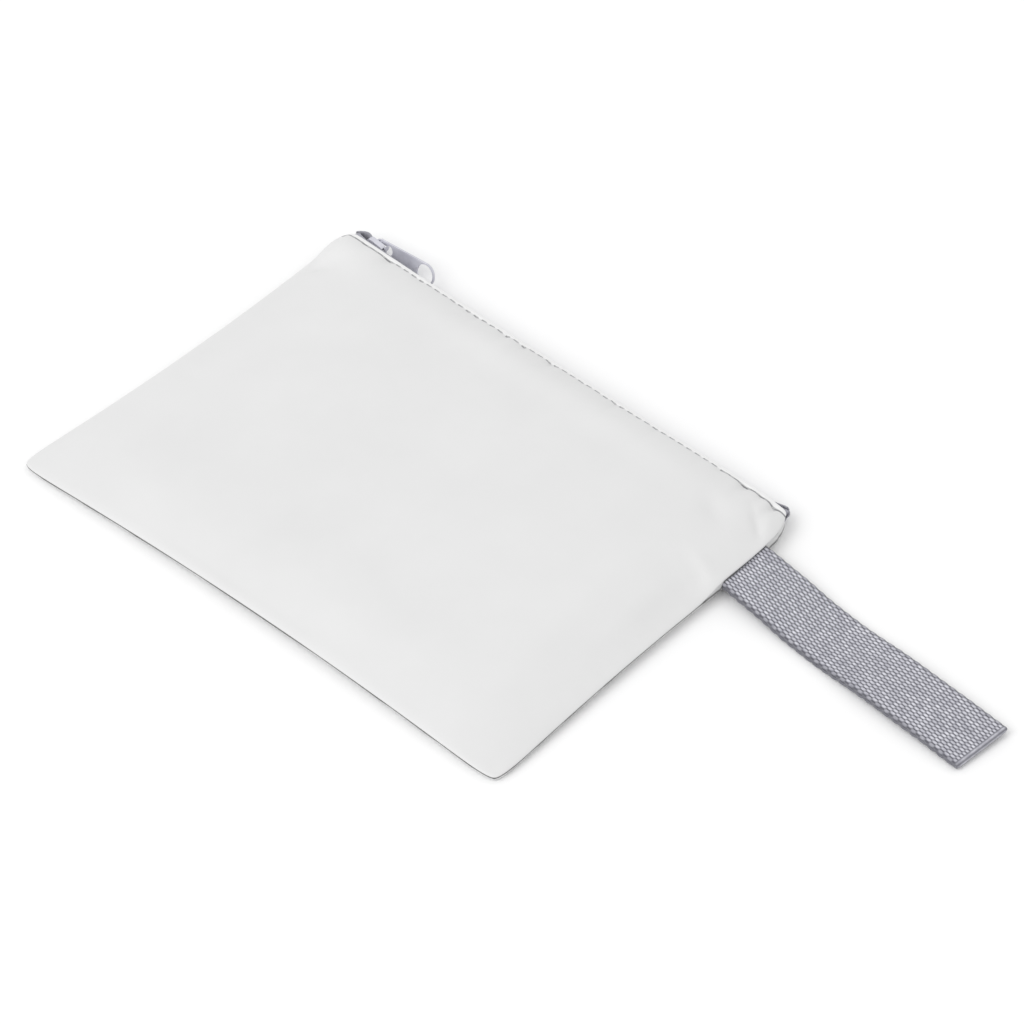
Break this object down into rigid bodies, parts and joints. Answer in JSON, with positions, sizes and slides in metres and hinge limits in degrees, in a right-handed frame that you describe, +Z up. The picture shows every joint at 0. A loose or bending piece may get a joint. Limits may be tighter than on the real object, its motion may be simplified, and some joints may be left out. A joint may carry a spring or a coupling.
{
  "type": "document pouch",
  "caption": "Flat zipped pouch of smooth white cloth with a coil zip along its long edge, a metal slider with a ring-ended pull, and a webbing wrist strap doubled flat at its side.",
  "frame": {"origin": "middle of the flat underside of the back panel, on the surface that the pouch lies on", "axes": "+X along the zip towards the wrist strap, +Y from the bottom seam to the zip, +Z up, out of the front panel"},
  "size_m": [0.3566, 0.1778, 0.014],
  "materials": {
    "white_cloth": "smooth, slightly satin",
    "grey_tape": "fine weave",
    "grey_coil": "satin",
    "painted_metal": "satin paint",
    "grey_webbing": "coarse basket weave"
  },
  "bodies": {
    "pouch": {"front_panel": "white_cloth", "back_panel": "white_cloth", "zip_tape_front": "grey_tape", "zip_tape_back": "grey_tape", "zip_coil": "grey_coil", "zip_slider": "painted_metal", "wrist_strap": "grey_webbing"},
    "pull": {"zip_pull": "painted_metal"}
  },
  "joints": [
    {"name": "pull_swing", "type": "hinge", "parent": "pouch", "child": "pull", "pos_m": [-0.09938, 0.09082, 0.00493], "axis": [0, 0, 1], "range_deg": [0, 150]}
  ]
}
